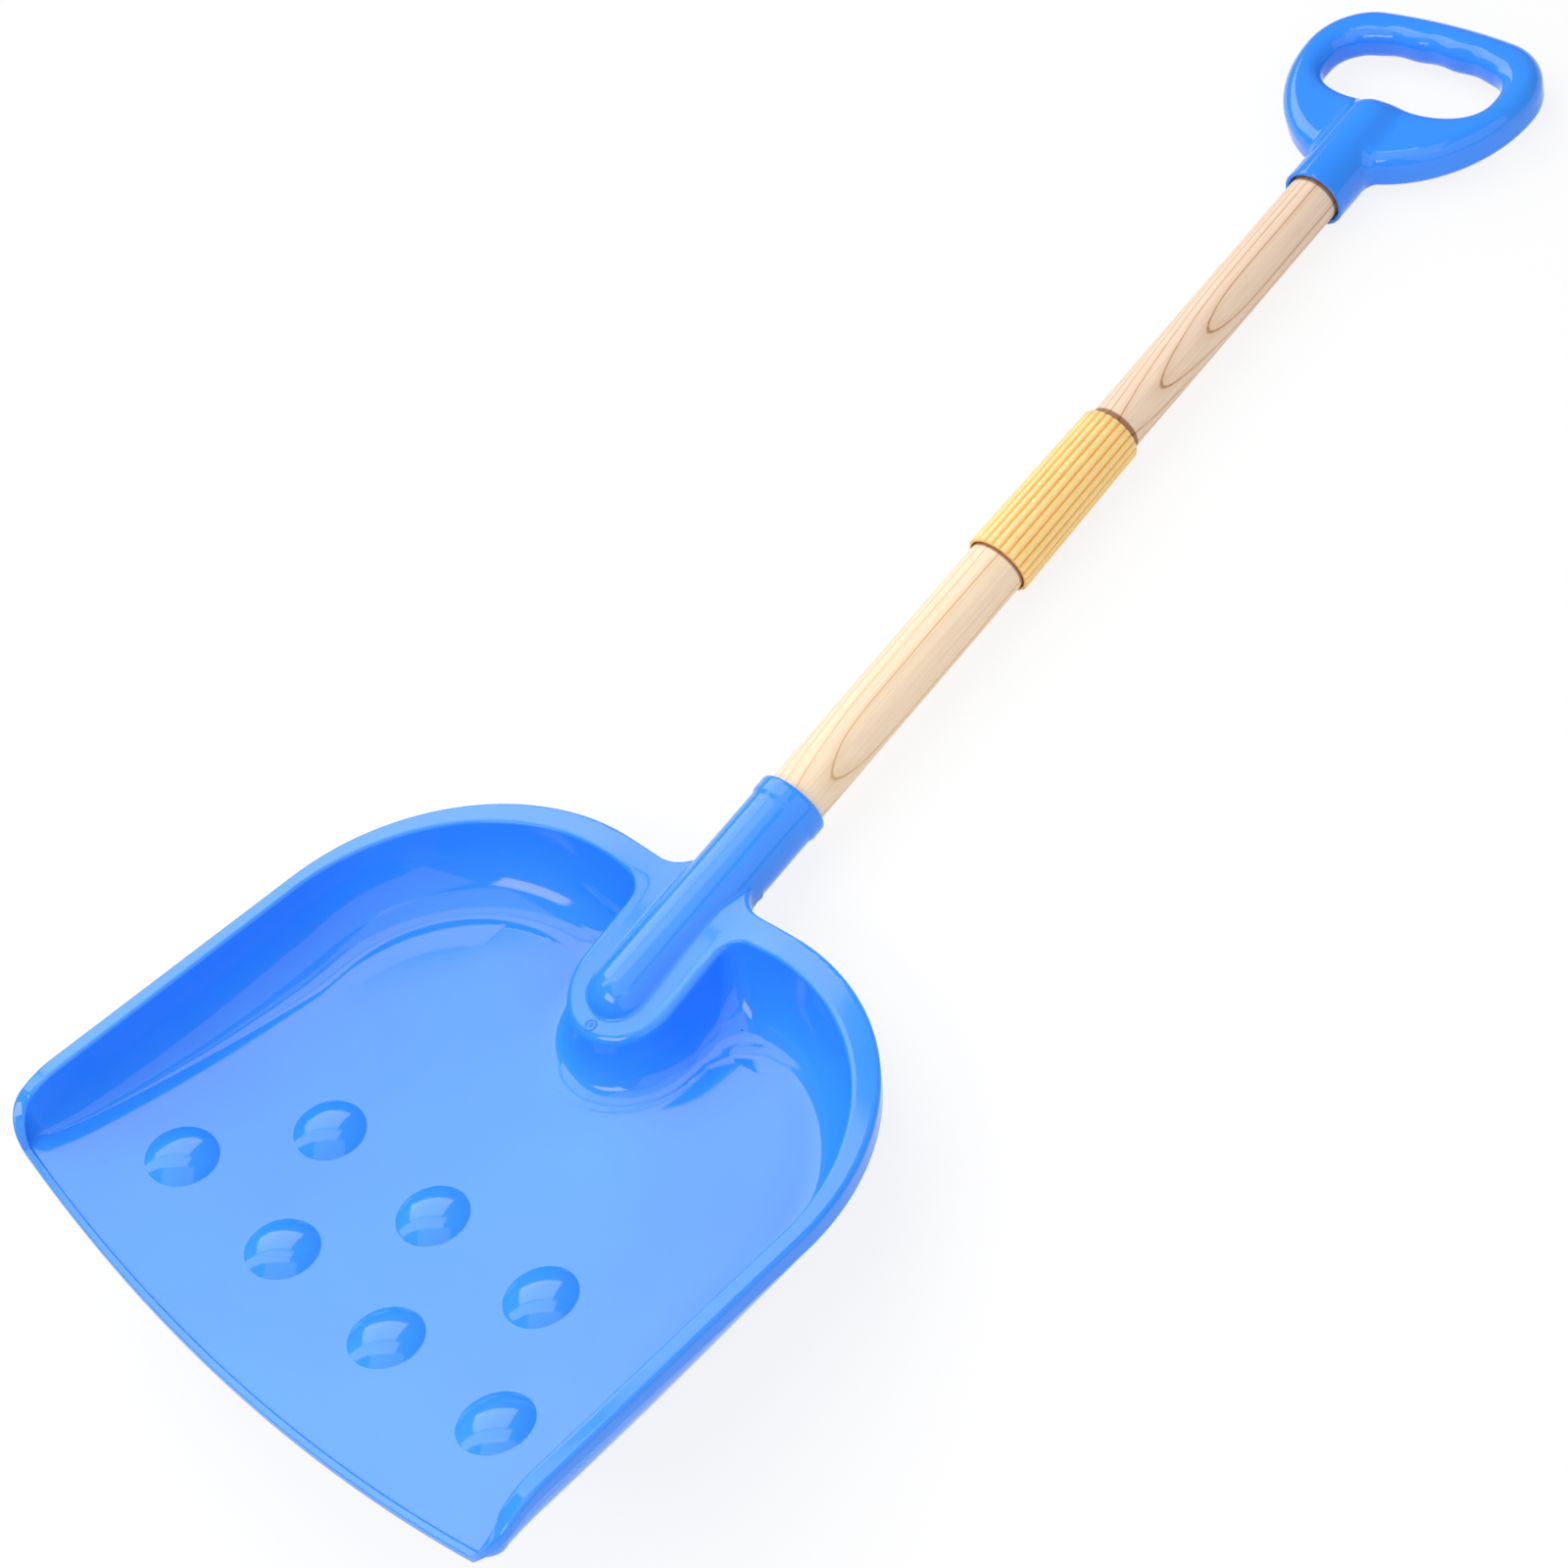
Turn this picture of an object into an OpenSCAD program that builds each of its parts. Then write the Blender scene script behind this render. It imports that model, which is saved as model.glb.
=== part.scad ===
// Child's sand shovel: a moulded scoop with a tubular socket, two wooden dowels
// joined end to end in a ribbed sleeve, and a moulded D-handle. Millimetres.
// It lies as it comes to rest: +Y runs from the scoop to the handle, Z is up.

/* [Scoop] */
// Width over the rim
scoop_w = 252; // [200:1:300]
// Length from the front edge to the back of the rim
scoop_l = 217; // [180:1:260]
// Height of the rim above the lowest floor, at the front
rim_front_h = 33; // [26:0.5:42]
// Height of the rim above the lowest floor, at the back
rim_back_h = 48.5; // [42:0.5:58]
// Radius of the back corners, seen from above
back_corner_r = 84; // [60:1:95]
// Radius of the front corners, seen from above
front_corner_r = 10; // [7:0.5:16]
// Length over which the rim drops to the front edge
front_drop_l = 21; // [14:0.5:30]
// How far the front edge bows out at the middle
front_bow = 7; // [3:0.5:12]
// Radius of the hollow of the floor
floor_r = 540; // [400:5:900]
// Lowest point of the floor, behind the front edge
floor_low_y = 65; // [45:1:90]
// How far the side walls lean out at the back
lean_back = 21; // [12:0.5:26]
// How far the side walls lean out at the front
lean_front = 3; // [1.5:0.25:8]
// Wall thickness
scoop_wall = 2.4; // [1.8:0.1:3]
// Width of the flat rim at the back
rim_back_w = 11; // [9:0.5:16]
// Width of the flat rim at the sides
rim_side_w = 6.4; // [5:0.2:9]
// Depth of the turned-down edge of the rim at the back
skirt_h = 9; // [6:0.5:14]
// Depth of the turned-down edge of the rim at the front
skirt_front_h = 5; // [4:0.5:9]

/* [Grip studs on the floor] */
// Distance between two studs of a row
stud_pitch = 54; // [46:1:58]
// Distance of the front row behind the front edge
stud_front_y = 43.5; // [32:0.5:60]
// Distance between the two rows
stud_row_gap = 40.5; // [32:0.5:50]
// Radius of a stud
stud_r = 12.6; // [9:0.2:15]
// Height of a stud
stud_h = 3.4; // [2:0.2:5]

/* [Socket] */
// Angle between the shaft and the scoop floor
shaft_angle = 18; // [12:0.5:24]
// Shaft axis below the top of the rim, at the back edge
axis_drop = 6.6; // [4:0.2:9]
// Outer radius of the socket tube
socket_r = 12.7; // [12.6:0.1:15]
// Length of the socket behind the rim
socket_out_l = 45; // [35:0.5:70]
// Length of the socket over the tongue, in front of the back edge
socket_in_l = 57; // [45:0.5:62]
// Height of the bead round the mouth
bead_h = 0.8; // [0.6:0.1:2]
// Length of the bead
bead_l = 8; // [5:0.5:12]
// Half width of the tongue under the socket
tongue_half_w = 22; // [19:0.5:26]
// Length of the tongue from the inner edge of the rim
tongue_l = 51; // [46:0.5:58]
// How far the tongue runs down from the rim to its tip
tongue_drop = 18.5; // [14:0.5:22]
// How far the foot of the tongue spreads on the floor
tongue_flare = 9; // [5:0.5:12]

/* [Shaft] */
// Diameter of the lower dowel
lower_d = 22; // [20:0.1:23]
// Diameter of the upper dowel
upper_d = 20; // [18:0.1:20.5]
// Length of the lower dowel between socket and sleeve
lower_bare_l = 113.5; // [70:0.5:180]
// Length of the upper dowel between sleeve and handle
upper_bare_l = 127; // [80:0.5:200]
// Length of the sleeve
sleeve_l = 67.5; // [50:0.5:90]
// Wall of the sleeve between two ribs
sleeve_wall = 1.1; // [0.8:0.1:1.6]
// Number of ribs on the sleeve
rib_count = 24; // [16:1:30]
// Radius of a rib
rib_r = 0.8; // [0.5:0.1:1]

/* [D-handle] */
// Half width of the handle
grip_half_w = 50; // [44:0.5:56]
// Length of the handle from the mouth of its socket to the top
grip_l = 95; // [88:0.5:104]
// Thickness of the handle
grip_t = 14.6; // [12:0.2:17]
// Width of the bar that the hand holds
bar_w = 14; // [11:0.5:17]
// Width of the two side bars
side_bar_w = 13.5; // [11:0.5:16]
// Length of the socket in the handle
boss_l = 48; // [44:0.5:54]
// Outer radius of the socket in the handle
boss_r = 12.4; // [12.1:0.1:13.2]
// Outer radius of that socket at its mouth
boss_mouth_r = 11.5; // [11.4:0.1:12]
// Depth of a finger hollow on the bar
finger_h = 0.9; // [0.4:0.1:1.6]

/* [Hidden] */
$fn = 96;
blue = [0.2, 0.55, 1];
yellow = [1, 0.8, 0.4];
pale_wood = [0.93, 0.83, 0.69];
tan_wood = [0.9, 0.78, 0.66];

fit_gap = 0.1;
butt_gap = 0.3;
overrun = 4;
half_w = scoop_w / 2;
half_share = 0.5;
step_share = 0.34;
edge_r = 1.4;
lip_w = 2.4;
lip_rise = 0.5;
lip_h = 2.7;
round_share = 0.3;
wall_power = 0.87;
lean_start_y = 12;
lean_end_y = 118;

// number of points on each stretch of the rim, and of rings on the floor and wall
front_n = 11;
corner_n = 7;
side_n = 9;
back_n = 11;
rear_n = 5;
floor_n = 5;
wall_n = 6;

function ramp(v) = max(0, min(1, v));
function mix(a, b, t) = a + (b - a) * t;
function floor_z(x, y) = (x * x + pow(y - floor_low_y, 2)) / (2 * floor_r);
function rim_z(y) = mix(rim_front_h, rim_back_h, y / scoop_l);

// right half of the rim seen from above: place and outward direction of each point
bow_end_x = half_w - front_corner_r;
side_start_y = front_bow + front_corner_r;
back_mid_x = half_w - back_corner_r;
back_mid_y = scoop_l - back_corner_r;
rim_right = concat(
    [for (i = [0 : front_n - 1])
        let (x = bow_end_x * i / front_n)
        [x, front_bow * pow(x / bow_end_x, 2), 0, -1]],
    [for (i = [0 : corner_n - 1])
        let (a = 90 * i / corner_n - 90)
        [bow_end_x + front_corner_r * cos(a), side_start_y + front_corner_r * sin(a), cos(a), sin(a)]],
    [for (i = [0 : side_n - 1])
        [half_w, mix(side_start_y, back_mid_y, i / side_n), 1, 0]],
    [for (i = [0 : back_n - 1])
        let (a = 90 * i / back_n)
        [back_mid_x + back_corner_r * cos(a), back_mid_y + back_corner_r * sin(a), cos(a), sin(a)]],
    [for (i = [0 : rear_n])
        [mix(back_mid_x, 0, i / rear_n), scoop_l, 0, 1]]);
right_n = len(rim_right);
rim_all = concat(rim_right,
    [for (i = [right_n - 2 : -1 : 1])
        let (p = rim_right[i])
        [-p[0], p[1], -p[2], p[3]]]);
rim_n = len(rim_all);

// share of the full wall height at a point: 1 along the sides, 0 on the front edge
function wall_share(p) =
    let (s = ramp((front_bow + front_drop_l - p[1]) / front_drop_l))
    sqrt(max(0, 1 - s * s));
function top_z(p) = mix(floor_z(p[0], p[1]) + lip_rise, rim_z(p[1]), wall_share(p));
function rim_w(p) = mix(lip_w, mix(rim_side_w, rim_back_w, max(0, p[3])), wall_share(p));
function lean(p) =
    mix(1, mix(lean_front, lean_back, ramp((p[1] - lean_start_y) / (lean_end_y - lean_start_y))),
        wall_share(p));
function skirt(p) = mix(lip_h, mix(skirt_front_h, skirt_h, p[1] / scoop_l), wall_share(p));
function thin(p) = min(scoop_wall, step_share * rim_w(p));
function spot(p, off, z) = [p[0] - p[2] * off, p[1] - p[3] * off, z];
function foot_z(p) =
    let (q = spot(p, rim_w(p) + lean(p), 0))
    floor_z(q[0], q[1]);
function inner_r(p) = mix(edge_r * round_share, edge_r, wall_share(p));
// a point of the inside wall: offset inward from the rim, and height
function wall_at(p, a) =
    [rim_w(p) + lean(p) * (1 - pow(sin(a), wall_power)),
     mix(foot_z(p), top_z(p) - inner_r(p), 1 - pow(cos(a), wall_power))];
// the same point on the outside of the wall
function shell_at(p, a) =
    let (d = wall_at(p, a + 1) - wall_at(p, a - 1), w = wall_at(p, a), l = norm(d))
    [w[0] - d[1] / l * thin(p), w[1] + d[0] / l * scoop_wall];
function floor_ring(f, drop) =
    [for (p = rim_all)
        let (q = spot(p, rim_w(p) + lean(p), 0),
             x = q[0] * f,
             y = mix(floor_low_y, q[1], f))
        [x, y, floor_z(x, y) - drop]];
function wall_ring(a) = [for (p = rim_all) let (w = wall_at(p, a)) spot(p, w[0], w[1])];
function shell_ring(a) = [for (p = rim_all) let (w = shell_at(p, a)) spot(p, w[0], w[1])];
function rim_ring(in_share, out_share, step_in, step_down) =
    [for (p = rim_all)
        spot(p, rim_w(p) * in_share + inner_r(p) * step_in, top_z(p) - inner_r(p) * step_down)];
pan_rings = concat(
    [for (i = [1 : floor_n]) floor_ring(i / floor_n, 0)],
    [for (i = [1 : wall_n]) wall_ring(90 * i / (wall_n + round_share))],
    [rim_ring(1, 0, 0, 1),
     rim_ring(1, 0, -round_share, round_share),
     rim_ring(1, 0, -1, 0),
     rim_ring(0, 0, 1, 0),
     rim_ring(0, 0, round_share, round_share),
     rim_ring(0, 0, 0, 1)],
    [[for (p = rim_all) spot(p, 0, top_z(p) - skirt(p))],
     [for (p = rim_all) spot(p, thin(p), top_z(p) - skirt(p))],
     [for (p = rim_all) spot(p, thin(p), top_z(p) - min(scoop_wall, skirt(p) * (1 - round_share)))],
     [for (p = rim_all)
        spot(p, rim_w(p) - thin(p), top_z(p) - min(scoop_wall, skirt(p) * (1 - round_share)))]],
    [for (i = [wall_n - 1 : -1 : 1]) shell_ring(90 * i / (wall_n + round_share))],
    [for (i = [floor_n : -1 : 1]) floor_ring(i / floor_n, scoop_wall)]);

// faces between rings of n points, closed at both ends round a point
function ring_faces(rings, n) =
    [for (k = [0 : rings - 2], i = [0 : n - 1])
        let (a = k * n + i, b = k * n + (i + 1) % n, c = b + n, d = a + n)
        each [[a, b, c], [a, c, d]]];
function cap_faces(rings, n) =
    [for (i = [0 : n - 1])
        let (j = (i + 1) % n, e = (rings - 1) * n, t = rings * n)
        each [[t, j, i], [t + 1, e + i, e + j]]];
module lofted(rings, first, last) {
    n = len(rings[0]);
    polyhedron(concat([for (r = rings) each r], [first, last]),
        concat(ring_faces(len(rings), n), cap_faces(len(rings), n)));
}

// tongue: a flat U that runs down from the rim, on a foot that spreads on the floor
root_y = scoop_l - rim_back_w;
tip_y = root_y - tongue_l;
tongue_lift = 0.05;
tongue_root_r = 9;
tongue_lap = 4;
tongue_edge_r = 2.2;
tongue_turn_n = 14;
tongue_side_n = 7;
flare_n = 8;
side_power = 1.5;
tongue_bend_l = 4;
tongue_slope = tongue_drop / (tongue_l - tongue_bend_l * half_share);
// the tongue leaves the rim level and bends down to its slope
function tongue_z(y) =
    let (u = max(0, root_y - y), b = tongue_bend_l)
    rim_z(y) + tongue_lift - tongue_slope * (u < b ? u * u / (2 * b) : u - b * half_share);
// hollow curve in the corner between the tongue and the back wall
function root_spread(y) =
    let (s = ramp((y - root_y + tongue_root_r) / tongue_root_r))
    tongue_root_r * (1 - sqrt(1 - s * s));
// outline of the tongue, spread by o, with its back end at end_y; root is 1 with root curves, else 0
function tongue_line(o, end_y, root) =
    let (w = tongue_half_w + o, mid = tip_y + tongue_half_w)
    concat(
        [for (i = [0 : tongue_side_n - 1])
            let (y = mix(end_y, mid, pow(i / tongue_side_n, side_power)))
            [-w - root_spread(y) * root, y]],
        [for (i = [0 : tongue_turn_n])
            let (a = 180 + 180 * i / tongue_turn_n)
            [w * cos(a), mid + w * sin(a)]],
        [for (i = [tongue_side_n - 1 : -1 : 0])
            let (y = mix(end_y, mid, pow(i / tongue_side_n, side_power)))
            [w + root_spread(y) * root, y]]);
// a ring of the foot, a share f of the way down to the floor
function tongue_ring(f, o, end_y, root, down, under) =
    [for (q = tongue_line(o, end_y, root))
        [q[0], q[1], mix(tongue_z(q[1]) - down, floor_z(q[0], q[1]) - under, f)]];
function flare_at(f) = tongue_flare * (1 - sqrt(1 - f * f));
// back end of the foot, inside the back wall of the scoop
function foot_end_y(f) =
    root_y + scoop_wall * half_share
    - lean_back * (1 - pow(sin(acos(pow(f, 1 / wall_power))), wall_power));
// closed solid of rings that are alike left and right, each end made of strips across
module strip_loft(rings) {
    n = len(rings[0]);
    e = (len(rings) - 1) * n;
    half_n = (n - 1) * half_share;
    ends = [for (i = [0 : half_n - 1])
        let (j = n - 1 - i, k = j - 1)
        each concat([[i, j, k], [e + i, e + k, e + j]],
            k > i + 1 ? [[i, k, i + 1], [e + i, e + i + 1, e + k]] : [])];
    polyhedron([for (r = rings) each r], concat(ring_faces(len(rings), n), ends));
}
module tongue_block() {
    rings = concat(
        [tongue_ring(0, -tongue_edge_r, root_y + tongue_lap, 1, 0, 0),
         tongue_ring(0, -tongue_edge_r * round_share, root_y + tongue_lap, 1, tongue_edge_r * round_share, 0)],
        [for (i = [0 : flare_n])
            let (f = i / flare_n)
            tongue_ring(f, flare_at(f), foot_end_y(f), 1, tongue_edge_r, scoop_wall * half_share)]);
    strip_loft(rings);
}
module tongue_hollow() {
    end_y = scoop_l + overrun;
    rings = [for (i = [0 : flare_n])
        let (f = i / flare_n)
        tongue_ring(f, flare_at(f) - scoop_wall, end_y, 0, scoop_wall, scoop_wall + overrun)];
    strip_loft(rings);
}

// places along the shaft axis, from the back edge of the rim
nose_r = socket_r;
nose_a = nose_r - socket_in_l;
bore_end_a = nose_a + scoop_wall;
lower_end_a = bore_end_a + butt_gap;
sleeve_a = socket_out_l + lower_bare_l;
joint_a = sleeve_a + sleeve_l * half_share;
sleeve_end_a = sleeve_a + sleeve_l;
grip_a = sleeve_end_a + upper_bare_l;
grip_bore_l = boss_l - 2 * scoop_wall - butt_gap;
upper_end_a = grip_a + grip_bore_l - butt_gap;
axis_z = rim_z(scoop_l) - axis_drop;

// D-handle: outer line and hole, both round one point, as distances in a direction
hub_v = grip_l - bar_w - (grip_l - bar_w - boss_l) * half_share;
shoulder_r = grip_half_w * half_share;
shoulder_v = grip_l - shoulder_r - finger_h;
waist_v = shoulder_v;
flank_r = grip_half_w + scoop_wall;
top_turn = 83;
top_r = (grip_half_w - shoulder_r + shoulder_r * cos(top_turn)) / cos(top_turn);
hole_half_w = grip_half_w - side_bar_w;
hole_half_h = grip_l - bar_w - hub_v;
hole_power = 2.7;
bump_h = 2.6;
bump_w = 12;
finger_w = 18;
grip_edge_r = 5.2;
boss_edge = 5;
boss_turn_n = 5;
grip_turn_n = 72;
edge_n = 4;
// distance from the hub, in direction u, to the far side of a circle
function far_hit(u, c, r) =
    let (b = u * c, k = c * c - r * r)
    b + sqrt(max(0, b * b - k));
function outer_reach(a) =
    let (u = [abs(cos(a)), sin(a)],
         shoulder = [grip_half_w - shoulder_r, shoulder_v - hub_v],
         flank = [grip_half_w - flank_r, waist_v - hub_v],
         turn = [shoulder[0] + shoulder_r * cos(top_turn), shoulder[1] + shoulder_r * sin(top_turn)],
         top = [0, turn[1] - top_r * sin(top_turn)],
         low = atan2(shoulder[1], grip_half_w),
         high = atan2(turn[1], turn[0]),
         e = atan2(u[1], u[0]))
    e < low ? far_hit(u, flank, flank_r)
    : e < high ? far_hit(u, shoulder, shoulder_r)
    : far_hit(u, top, top_r);
function hole_reach(a) =
    let (c = abs(cos(a)) / hole_half_w,
         s = abs(sin(a)) / hole_half_h,
         r = pow(pow(c, hole_power) + pow(s, hole_power), -1 / hole_power),
         x = r * cos(a),
         bump = sin(a) < 0 ? bump_h * exp(-pow(x / bump_w, 2)) : 0,
         finger = sin(a) > half_share ? finger_h * (cos(360 * x / finger_w) - 1) * half_share : 0)
    r - bump + finger;
// a corner of the section: turn k, direction of the corner, centre of its curve
function corner(k, m, h) =
    [for (i = [0 : edge_n])
        let (t = 90 * (k + i / edge_n))
        [m + grip_edge_r * cos(t), h + grip_edge_r * sin(t)]];
function grip_section(a) =
    let (i = hole_reach(a) + grip_edge_r,
         o = outer_reach(a) - grip_edge_r,
         h = grip_t * half_share - grip_edge_r)
    concat(corner(0, o, h), corner(1, i, h), corner(2, i, -h), corner(3, o, -h));
grip_rings = [for (k = [0 : grip_turn_n - 1])
    let (a = 360 * k / grip_turn_n)
    [for (s = grip_section(a)) [s[0] * cos(a), hub_v + s[0] * sin(a), s[1]]]];
module grip_loop() {
    n = len(grip_rings[0]);
    polyhedron([for (r = grip_rings) each r],
        [for (k = [0 : grip_turn_n - 1], i = [0 : n - 1])
            let (k1 = (k + 1) % grip_turn_n, j = (i + 1) % n,
                 a = k * n + i, b = k * n + j, c = k1 * n + j, d = k1 * n + i)
            each [[a, b, c], [a, c, d]]]);
}

// the lying pose: turned until the back of the scoop and the handle both touch down
function on_axis(p) =
    [p[0],
     scoop_l + (grip_a + p[1]) * cos(shaft_angle) - p[2] * sin(shaft_angle),
     axis_z + (grip_a + p[1]) * sin(shaft_angle) + p[2] * cos(shaft_angle)];
scoop_points = [for (r = pan_rings, p = r) if (abs(p[0]) > tongue_half_w) p];
grip_points = concat([for (r = grip_rings, p = r) on_axis(p)],
    [for (v = [boss_l * half_share, boss_l - boss_edge]) on_axis([0, v, -boss_r])]);
function low(points, t) = min([for (p = points) p[2] * cos(t) - p[1] * sin(t)]);
function settle(t, n) =
    n == 0 ? t
    : settle(t + (low(grip_points, t) - low(scoop_points, t)) / grip_a * 180 / PI, n - 1);
lie_angle = settle(shaft_angle, 8);
lie_z = -low(scoop_points, lie_angle);
all_points = concat([for (r = pan_rings, p = r) p], grip_points);
lie_ys = [for (p = all_points) p[1] * cos(lie_angle) + p[2] * sin(lie_angle)];
lie_y = -(min(lie_ys) + max(lie_ys)) * half_share;
module lying() {
    translate([0, lie_y, lie_z]) rotate([-lie_angle, 0, 0]) children();
}
// children stand on the shaft axis, a from the back edge of the rim, with Z along the shaft
module along_shaft(a) {
    translate([0, scoop_l, axis_z])
        rotate([shaft_angle - 90, 0, 0])
            translate([0, 0, a]) children();
}
stud_sphere_r = (stud_r * stud_r + stud_h * stud_h) / (2 * stud_h);
studs = concat(
    [for (k = [-1.5 : 1 : 1.5]) [k * stud_pitch, stud_front_y]],
    [for (k = [-1 : 1 : 1]) [k * stud_pitch, stud_front_y + stud_row_gap]]);
// children stand on the floor at each stud, square to the floor
module at_studs() {
    for (q = studs)
        translate([q[0], q[1], floor_z(q[0], q[1])])
            rotate([atan((q[1] - floor_low_y) / floor_r), -atan(q[0] / floor_r), 0])
                children();
}
module stud_cap() {
    intersection() {
        translate([0, 0, stud_h - stud_sphere_r]) sphere(stud_sphere_r);
        translate([0, 0, -scoop_wall * half_share]) cylinder(h = scoop_wall + stud_h, r = stud_r);
    }
}
module stud_hollow() {
    intersection() {
        translate([0, 0, stud_h - stud_sphere_r]) sphere(stud_sphere_r - scoop_wall);
        translate([0, 0, -scoop_wall - overrun]) cylinder(h = scoop_wall + overrun + stud_h, r = stud_r);
    }
}
bead_turn_r = bead_h;
fillet_r = 12;
// web with a hollow curve between the back edge of the rim and the socket tube
module socket_fillets() {
    web_x = socket_r + fillet_r - scoop_wall;
    for (s = [0, 1])
        mirror([s, 0, 0])
            translate([0, scoop_l - scoop_wall, rim_z(scoop_l) - skirt_h])
                linear_extrude(skirt_h)
                    difference() {
                        square([web_x, fillet_r + scoop_wall]);
                        translate([web_x, fillet_r + scoop_wall]) circle(fillet_r);
                    }
}
module socket_body() {
    along_shaft(nose_a) sphere(nose_r);
    along_shaft(nose_a) cylinder(h = socket_out_l - nose_a, r = socket_r);
    along_shaft(socket_out_l - bead_l)
        rotate_extrude()
            polygon([[0, 0], [socket_r, 0], [socket_r + bead_h, bead_h],
                [socket_r + bead_h, bead_l - bead_h], [socket_r, bead_l], [0, bead_l]]);
}

module blade() {
    color(blue) lying() difference() {
        union() {
            difference() {
                union() {
                    lofted(pan_rings, [0, floor_low_y, 0], [0, floor_low_y, -scoop_wall]);
                    tongue_block();
                    at_studs() stud_cap();
                }
                tongue_hollow();
                at_studs() stud_hollow();
            }
            socket_fillets();
            socket_body();
        }
        along_shaft(bore_end_a)
            cylinder(h = socket_out_l - bore_end_a + overrun, r = lower_d * half_share + fit_gap);
    }
}

dowel_edge = 1;
module dowel(d, l) {
    r = d * half_share;
    rotate_extrude()
        polygon([[0, 0], [r - dowel_edge, 0], [r, dowel_edge], [r, l - dowel_edge],
            [r - dowel_edge, l], [0, l]]);
}
module lower_shaft() {
    color(pale_wood) lying() along_shaft(lower_end_a) dowel(lower_d, joint_a - butt_gap * half_share - lower_end_a);
}
module upper_shaft() {
    color(tan_wood) lying() along_shaft(joint_a + butt_gap * half_share)
        dowel(upper_d, upper_end_a - joint_a - butt_gap * half_share);
}

sleeve_low_r = lower_d * half_share + fit_gap + sleeve_wall;
sleeve_high_r = upper_d * half_share + fit_gap + sleeve_wall;
sleeve_slope = atan((sleeve_low_r - sleeve_high_r) / sleeve_l);
module coupling_sleeve() {
    color(yellow) lying() along_shaft(sleeve_a) difference() {
        union() {
            cylinder(h = sleeve_l, r1 = sleeve_low_r, r2 = sleeve_high_r);
            for (k = [0 : rib_count - 1])
                rotate([0, 0, 360 * k / rib_count])
                    intersection() {
                        translate([sleeve_low_r, 0, -overrun])
                            rotate([0, -sleeve_slope, 0]) cylinder(h = sleeve_l + 2 * overrun, r = rib_r);
                        cylinder(h = sleeve_l, r = sleeve_low_r + rib_r);
                    }
        }
        translate([0, 0, -overrun])
            cylinder(h = sleeve_l * half_share + overrun, r = lower_d * half_share + fit_gap);
        cylinder(h = sleeve_l + overrun, r = upper_d * half_share + fit_gap);
    }
}

module d_handle() {
    color(blue) lying() difference() {
        along_shaft(grip_a) union() {
            rotate([90, 0, 0]) grip_loop();
            rotate_extrude()
                polygon(concat([[0, 0], [boss_mouth_r, 0], [boss_r, boss_l * half_share], [boss_r, boss_l - boss_edge]],
                    [for (i = [1 : boss_turn_n])
                        let (t = 90 * i / boss_turn_n)
                        [boss_r - boss_edge + boss_edge * cos(t), boss_l - boss_edge + boss_edge * sin(t)]],
                    [[0, boss_l]]));
        }
        along_shaft(grip_a - overrun)
            cylinder(h = grip_bore_l + overrun, r = upper_d * half_share + fit_gap);
    }
}

blade();
lower_shaft();
coupling_sleeve();
upper_shaft();
d_handle();
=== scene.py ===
import math

import bmesh
import bpy
import numpy as np
from mathutils import Matrix, Vector


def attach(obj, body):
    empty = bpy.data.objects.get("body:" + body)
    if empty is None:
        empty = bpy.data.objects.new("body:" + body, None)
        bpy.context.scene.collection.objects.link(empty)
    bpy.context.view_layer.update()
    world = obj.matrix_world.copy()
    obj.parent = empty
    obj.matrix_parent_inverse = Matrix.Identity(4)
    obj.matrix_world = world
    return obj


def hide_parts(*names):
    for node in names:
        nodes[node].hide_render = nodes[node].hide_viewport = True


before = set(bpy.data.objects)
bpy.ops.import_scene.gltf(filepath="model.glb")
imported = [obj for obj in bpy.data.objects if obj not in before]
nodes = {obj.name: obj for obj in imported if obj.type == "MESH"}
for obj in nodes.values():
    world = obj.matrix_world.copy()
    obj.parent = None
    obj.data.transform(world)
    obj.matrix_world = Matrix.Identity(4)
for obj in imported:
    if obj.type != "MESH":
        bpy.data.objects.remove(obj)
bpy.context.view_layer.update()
scene = bpy.context.scene
scene.view_settings.view_transform = "Standard"

# camera at the photo's viewing angle; the middle of the view is in the photo's pixels
PHOTO_SIZE, MIDDLE_X, MIDDLE_Y = 1600, 787.3, 805.7
camera_data = bpy.data.cameras.new("camera")
camera_data.lens = 57.37
camera_data.sensor_width = 36.0
camera_data.shift_x = (PHOTO_SIZE / 2 - MIDDLE_X) / PHOTO_SIZE
camera_data.shift_y = (MIDDLE_Y - PHOTO_SIZE / 2) / PHOTO_SIZE
camera = bpy.data.objects.new("camera", camera_data)
camera.location = (0.495396, -0.287778, 0.677802)
camera.rotation_mode = "QUATERNION"
camera.rotation_quaternion = (0.895967, 0.222770, 0.258156, 0.284555)
scene.collection.objects.link(camera)
scene.camera = camera

# the point over the scoop that the lights stand round, in metres
AIM = Vector((0.0, -0.1, 0.03))


def direction(azimuth, elevation):
    """Unit vector to a place on the sky, in degrees from the front and from the floor."""
    a, e = math.radians(azimuth), math.radians(elevation)
    return Vector((math.sin(a) * math.cos(e), -math.cos(a) * math.cos(e), math.sin(e)))


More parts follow.
